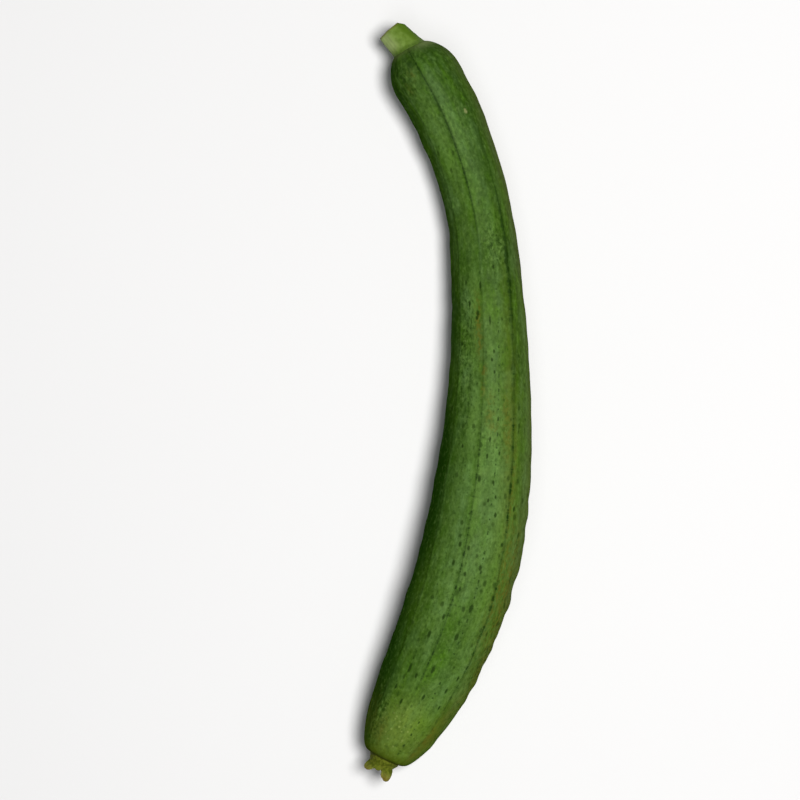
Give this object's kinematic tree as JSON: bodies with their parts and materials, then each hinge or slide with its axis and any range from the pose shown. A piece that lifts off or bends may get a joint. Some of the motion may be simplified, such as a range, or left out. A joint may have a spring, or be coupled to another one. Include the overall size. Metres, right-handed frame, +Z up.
{
  "type": "luffa gourd",
  "caption": "Long curved green gourd with low lengthwise veins, a cut stalk stub and a dried blossom, lying on its side.",
  "frame": {"origin": "on the surface it lies on, under the middle of the whole gourd", "axes": "+Y along the gourd towards its stalk, +X towards the outside of its bend, +Z up"},
  "size_m": [0.0874, 0.3951, 0.0531],
  "materials": {
    "skin": "fresh green skin, satin, with dark veins and flecks",
    "stalk": "pale green fibrous stalk, matt",
    "dried_blossom": "olive green drying to brown at the tips, matt"
  },
  "bodies": {
    "root": {"gourd_body": "skin", "stem": "stalk", "calyx": "dried_blossom"}
  },
  "joints": []
}
